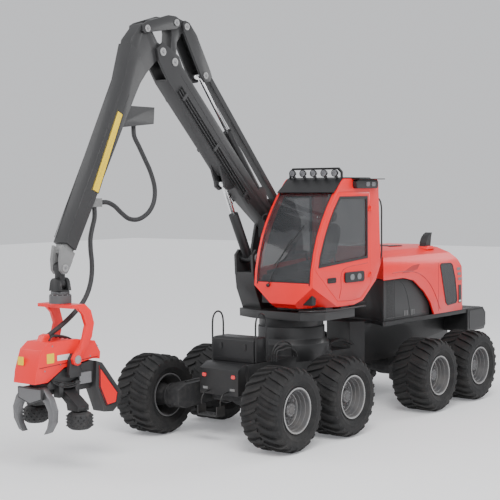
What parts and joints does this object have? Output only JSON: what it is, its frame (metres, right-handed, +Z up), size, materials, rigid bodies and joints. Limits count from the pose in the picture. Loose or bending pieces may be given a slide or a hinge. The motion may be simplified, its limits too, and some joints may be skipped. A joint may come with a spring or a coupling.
{
  "type": "forestry harvester",
  "caption": "Articulated forestry harvester: bogie wheels, slewing platform with cab beside a parallel crane, telescopic jib and a hanging felling head with rollers and knives.",
  "frame": {"origin": "on the ground under the middle of the bounding box, on the centre line", "axes": "+Z up, -Y to the front of the machine, +X to its left side"},
  "size_m": [3.327, 11.01, 6.8],
  "materials": {
    "red_paint": "bright red gloss paint, plain",
    "dark_grey_paint": "dark grey satin paint",
    "black_paint": "black satin paint",
    "cast_black": "painted castings, matt",
    "tyre_rubber": "matt black rubber",
    "rim_paint": "grey satin paint",
    "pale_grey_paint": "pale grey paint, worn",
    "knife_steel": "ground steel, dull",
    "chrome_rod": "polished chrome",
    "tinted_glass": "grey tinted safety glass",
    "seat_fabric": "black woven fabric",
    "hose_rubber": "black sleeve"
  },
  "bodies": {
    "front_frame": {"front_frame": "black_paint", "front_toolbox": "black_paint", "front_axle": "cast_black", "bogie_front_left": "cast_black", "bogie_front_right": "cast_black"},
    "rear_frame": {"rear_frame": "black_paint", "rear_axle": "cast_black", "bogie_rear_left": "cast_black", "bogie_rear_right": "cast_black", "engine_block": "cast_black", "engine_bay_panels": "dark_grey_paint"},
    "hood": {"engine_hood": "red_paint"},
    "platform": {"crane_platform": "dark_grey_paint", "cab_shell": "red_paint", "windscreen": "tinted_glass", "right_window": "tinted_glass", "rear_window": "tinted_glass", "operator_seat": "seat_fabric", "roof_light_rail": "black_paint"},
    "door": {"cab_door": "red_paint", "door_glass": "tinted_glass"},
    "boom": {"main_boom": "dark_grey_paint", "jib_cylinder_barrel": "black_paint"},
    "jib_rod": {"jib_cylinder_rod": "chrome_rod"},
    "lift_barrel": {"lift_barrel": "black_paint"},
    "lift_rod": {"lift_rod": "chrome_rod"},
    "rocker": {"rocker": "dark_grey_paint"},
    "link_bar": {"link_bar": "dark_grey_paint"},
    "top_link": {"top_link": "dark_grey_paint"},
    "jib": {"jib": "dark_grey_paint", "hose_loop": "hose_rubber"},
    "jib_extension": {"jib_extension": "pale_grey_paint", "hose_drop": "hose_rubber"},
    "tip_link": {"tip_link": "black_paint"},
    "rotator": {"rotator": "black_paint"},
    "head_hanger": {"head_hanger": "red_paint"},
    "head_frame": {"head_frame": "dark_grey_paint", "head_cover": "red_paint"},
    "knife_left": {"knife_left": "knife_steel"},
    "roller_arm_left": {"roller_arm_left": "black_paint"},
    "feed_roller_left": {"feed_roller_left": "black_paint"},
    "knife_right": {"knife_right": "knife_steel"},
    "roller_arm_right": {"roller_arm_right": "black_paint"},
    "feed_roller_right": {"feed_roller_right": "black_paint"},
    "wheel_front_left_fore": {"tyre_front_left_fore": "tyre_rubber", "rim_front_left_fore": "rim_paint"},
    "wheel_front_left_aft": {"tyre_front_left_aft": "tyre_rubber", "rim_front_left_aft": "rim_paint"},
    "wheel_front_right_fore": {"tyre_front_right_fore": "tyre_rubber", "rim_front_right_fore": "rim_paint"},
    "wheel_front_right_aft": {"tyre_front_right_aft": "tyre_rubber", "rim_front_right_aft": "rim_paint"},
    "wheel_rear_left_fore": {"tyre_rear_left_fore": "tyre_rubber", "rim_rear_left_fore": "rim_paint"},
    "wheel_rear_left_aft": {"tyre_rear_left_aft": "tyre_rubber", "rim_rear_left_aft": "rim_paint"},
    "wheel_rear_right_fore": {"tyre_rear_right_fore": "tyre_rubber", "rim_rear_right_fore": "rim_paint"},
    "wheel_rear_right_aft": {"tyre_rear_right_aft": "tyre_rubber", "rim_rear_right_aft": "rim_paint"}
  },
  "joints": [
    {"name": "wheel_front_left_fore", "type": "hinge", "parent": "front_frame", "child": "wheel_front_left_fore", "pos_m": [1.3085, -1.992, 0.66], "axis": [1, 0, 0], "continuous": true},
    {"name": "wheel_front_left_aft", "type": "hinge", "parent": "front_frame", "child": "wheel_front_left_aft", "pos_m": [1.3085, -0.438, 0.66], "axis": [1, 0, 0], "continuous": true},
    {"name": "wheel_front_right_fore", "type": "hinge", "parent": "front_frame", "child": "wheel_front_right_fore", "pos_m": [-1.3085, -1.992, 0.66], "axis": [1, 0, 0], "continuous": true},
    {"name": "wheel_front_right_aft", "type": "hinge", "parent": "front_frame", "child": "wheel_front_right_aft", "pos_m": [-1.3085, -0.438, 0.66], "axis": [1, 0, 0], "continuous": true},
    {"name": "wheel_rear_left_fore", "type": "hinge", "parent": "rear_frame", "child": "wheel_rear_left_fore", "pos_m": [1.3085, 2.424, 0.66], "axis": [1, 0, 0], "continuous": true},
    {"name": "wheel_rear_left_aft", "type": "hinge", "parent": "rear_frame", "child": "wheel_rear_left_aft", "pos_m": [1.3085, 3.978, 0.66], "axis": [1, 0, 0], "continuous": true},
    {"name": "wheel_rear_right_fore", "type": "hinge", "parent": "rear_frame", "child": "wheel_rear_right_fore", "pos_m": [-1.3085, 2.424, 0.66], "axis": [1, 0, 0], "continuous": true},
    {"name": "wheel_rear_right_aft", "type": "hinge", "parent": "rear_frame", "child": "wheel_rear_right_aft", "pos_m": [-1.3085, 3.978, 0.66], "axis": [1, 0, 0], "continuous": true},
    {"name": "steer", "type": "hinge", "parent": "front_frame", "child": "rear_frame", "pos_m": [0, 0.985, 1.05], "axis": [0, 0, 1], "range_deg": [-40, 40]},
    {"name": "hood_open", "type": "hinge", "parent": "rear_frame", "child": "hood", "pos_m": [0, 4.835, 1.6503], "axis": [-1, 0, 0], "range_deg": [0, 45]},
    {"name": "slew", "type": "hinge", "parent": "front_frame", "child": "platform", "pos_m": [0, 0.085, 1.7], "axis": [0, 0, -1], "range_deg": [-90, 90]},
    {"name": "cab_door", "type": "hinge", "parent": "platform", "child": "door", "pos_m": [1.022, 1.0575, 3], "axis": [0, 0, 1], "range_deg": [0, 80]},
    {"name": "boom_lift", "type": "hinge", "parent": "platform", "child": "boom", "pos_m": [-0.61, 0.265, 3.45], "axis": [-1, 0, 0], "range_deg": [-30, 18]},
    {"name": "lift_barrel_turn", "type": "hinge", "parent": "platform", "child": "lift_barrel", "pos_m": [-0.61, -0.335, 2.86], "axis": [-1, 0, 0], "range_deg": [-28, 17]},
    {"name": "lift_rod_slide", "type": "slide", "parent": "lift_barrel", "child": "lift_rod", "axis": [0, -0.4663, 0.8846], "range_m": [-0.43, 0.26]},
    {"name": "jib_fold", "type": "hinge", "parent": "boom", "child": "jib", "pos_m": [-0.61, -2.66, 6.213], "axis": [1, 0, 0], "range_deg": [-60, 15]},
    {"name": "rocker_turn", "type": "hinge", "parent": "boom", "child": "rocker", "pos_m": [-0.61, -2.379, 6.073], "axis": [1, 0, 0], "range_deg": [-47.5, 12.5]},
    {"name": "top_link_turn", "type": "hinge", "parent": "jib", "child": "top_link", "pos_m": [-0.61, -3.011, 6.544], "axis": [1, 0, 0], "range_deg": [-8, 29]},
    {"name": "link_bar_turn", "type": "hinge", "parent": "rocker", "child": "link_bar", "pos_m": [-0.61, -2.08, 6.659], "axis": [1, 0, 0], "range_deg": [-12.5, 47.5]},
    {"name": "jib_rod_slide", "type": "slide", "parent": "boom", "child": "jib_rod", "axis": [0, -0.634, 0.7733], "range_m": [-0.52, 0.14]},
    {"name": "jib_extend", "type": "slide", "parent": "jib", "child": "jib_extension", "axis": [0, -0.4912, -0.8711], "range_m": [0, 1.6], "deforming": ["hose_loop"]},
    {"name": "tip_swing", "type": "hinge", "parent": "jib_extension", "child": "tip_link", "pos_m": [-0.61, -4.785, 2.93], "axis": [1, 0, 0], "range_deg": [-45, 45], "deforming": ["hose_drop"]},
    {"name": "cross_swing", "type": "hinge", "parent": "tip_link", "child": "rotator", "pos_m": [-0.61, -4.785, 2.7], "axis": [0, 1, 0], "range_deg": [-35, 35]},
    {"name": "rotator_turn", "type": "hinge", "parent": "rotator", "child": "head_hanger", "pos_m": [-0.61, -4.785, 2.535], "axis": [0, 0, 1], "range_deg": [-180, 180]},
    {"name": "head_tilt", "type": "hinge", "parent": "head_hanger", "child": "head_frame", "pos_m": [-0.61, -4.795, 1.62], "axis": [-1, 0, 0], "range_deg": [-10, 90]},
    {"name": "roller_arm_left", "type": "hinge", "parent": "head_frame", "child": "roller_arm_left", "pos_m": [-0.41, -4.875, 1.14], "axis": [0, -1, 0], "range_deg": [-15, 25]},
    {"name": "feed_roller_left", "type": "hinge", "parent": "roller_arm_left", "child": "feed_roller_left", "pos_m": [-0.15, -4.875, 0.78], "axis": [0, 0, 1], "continuous": true},
    {"name": "knife_left", "type": "hinge", "parent": "head_frame", "child": "knife_left", "pos_m": [-0.45, -5.295, 1.2], "axis": [0, -1, 0], "range_deg": [-20, 35]},
    {"name": "roller_arm_right", "type": "hinge", "parent": "head_frame", "child": "roller_arm_right", "pos_m": [-0.81, -4.875, 1.14], "axis": [0, 1, 0], "range_deg": [-15, 25]},
    {"name": "feed_roller_right", "type": "hinge", "parent": "roller_arm_right", "child": "feed_roller_right", "pos_m": [-1.07, -4.875, 0.78], "axis": [0, 0, 1], "continuous": true},
    {"name": "knife_right", "type": "hinge", "parent": "head_frame", "child": "knife_right", "pos_m": [-0.77, -5.295, 1.2], "axis": [0, 1, 0], "range_deg": [-20, 35]}
  ],
  "couplings": [
    {"joint": "lift_barrel_turn", "follows": "boom_lift", "ratio": 0.88},
    {"joint": "lift_rod_slide", "follows": "boom_lift", "m_per_rad": 0.81},
    {"joint": "rocker_turn", "follows": "jib_fold", "ratio": 0.78},
    {"joint": "top_link_turn", "follows": "jib_fold", "ratio": -0.47},
    {"joint": "link_bar_turn", "follows": "jib_fold", "ratio": -0.78},
    {"joint": "jib_rod_slide", "follows": "jib_fold", "m_per_rad": 0.48}
  ]
}
